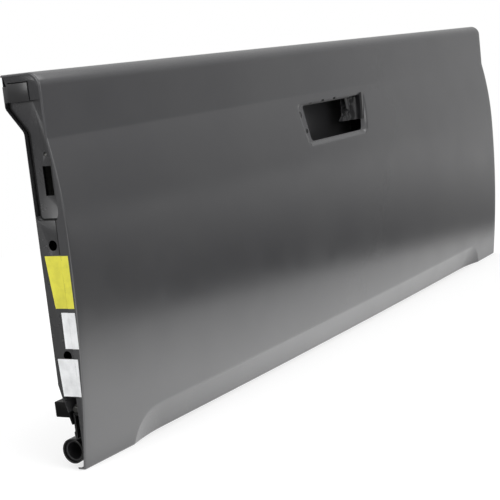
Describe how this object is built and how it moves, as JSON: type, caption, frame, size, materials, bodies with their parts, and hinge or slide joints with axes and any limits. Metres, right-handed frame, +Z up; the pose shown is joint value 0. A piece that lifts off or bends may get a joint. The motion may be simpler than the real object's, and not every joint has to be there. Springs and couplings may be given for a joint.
{
  "type": "pickup truck tailgate",
  "caption": "Pressed steel tailgate for a pickup bed: crowned outer skin, hemmed inner panel with a top rail, open handle pocket, side latches, hinge cups and rubber stops.",
  "frame": {"origin": "bottom centre of the tailgate's own box, on the floor it stands on", "axes": "+X along the width, -Y out of the outer face, +Y to the bed side, +Z up"},
  "size_m": [1.64, 0.091, 0.55],
  "materials": {
    "primed_skin": "satin dark grey primer",
    "primed_panel": "satin dark grey primer",
    "primed_steel": "satin grey primer",
    "primed_cover": "satin dark grey primer",
    "plated_steel": "zinc plated",
    "bushing_plastic": "black moulded plastic",
    "stop_rubber": "black moulded rubber"
  },
  "bodies": {
    "root": {"outer_skin": "primed_skin", "inner_panel": "primed_panel", "left_latch": "plated_steel", "right_latch": "plated_steel", "left_hinge_cup": "primed_steel", "right_hinge_cup": "primed_steel", "left_hinge_bushing": "bushing_plastic", "right_hinge_bushing": "bushing_plastic", "left_hinge_bracket": "primed_steel", "right_hinge_bracket": "primed_steel", "left_rubber_stop": "stop_rubber", "right_rubber_stop": "stop_rubber", "left_rail_tab": "primed_steel", "right_rail_tab": "primed_steel", "access_cover": "primed_cover", "left_post": "primed_steel", "right_post": "primed_steel", "handle_frame": "primed_steel", "handle_lug": "primed_steel", "rail_channel": "primed_steel"}
  },
  "joints": []
}
